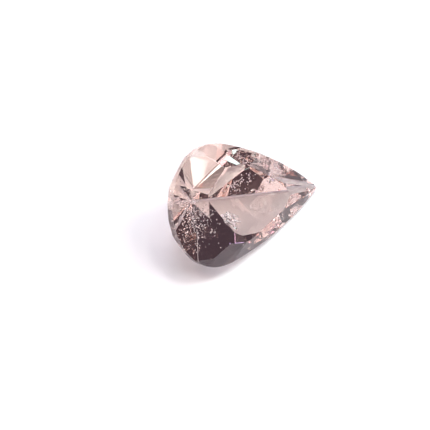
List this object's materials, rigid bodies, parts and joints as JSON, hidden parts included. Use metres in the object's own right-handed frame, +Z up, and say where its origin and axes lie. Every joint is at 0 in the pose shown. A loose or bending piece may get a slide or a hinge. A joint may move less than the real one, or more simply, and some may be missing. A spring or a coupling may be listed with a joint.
{
  "type": "pear-cut morganite gemstone",
  "caption": "Loose pear-cut (teardrop) gemstone of pale pink-brown morganite, clear and faceted, lying tilted on a long pavilion facet.",
  "frame": {"origin": "centre of the bounding box's underside, on the surface that the stone lies on", "axes": "+Z up, away from the surface. +X along the stone's length in plan, towards the pointed tip. The table leans towards -Y and a little towards +X."},
  "size_m": [0.0136, 0.0086, 0.0088],
  "materials": {
    "morganite": "polished clear pink-brown crystal"
  },
  "bodies": {
    "root": {"pear_cut_stone": "morganite"}
  },
  "joints": []
}
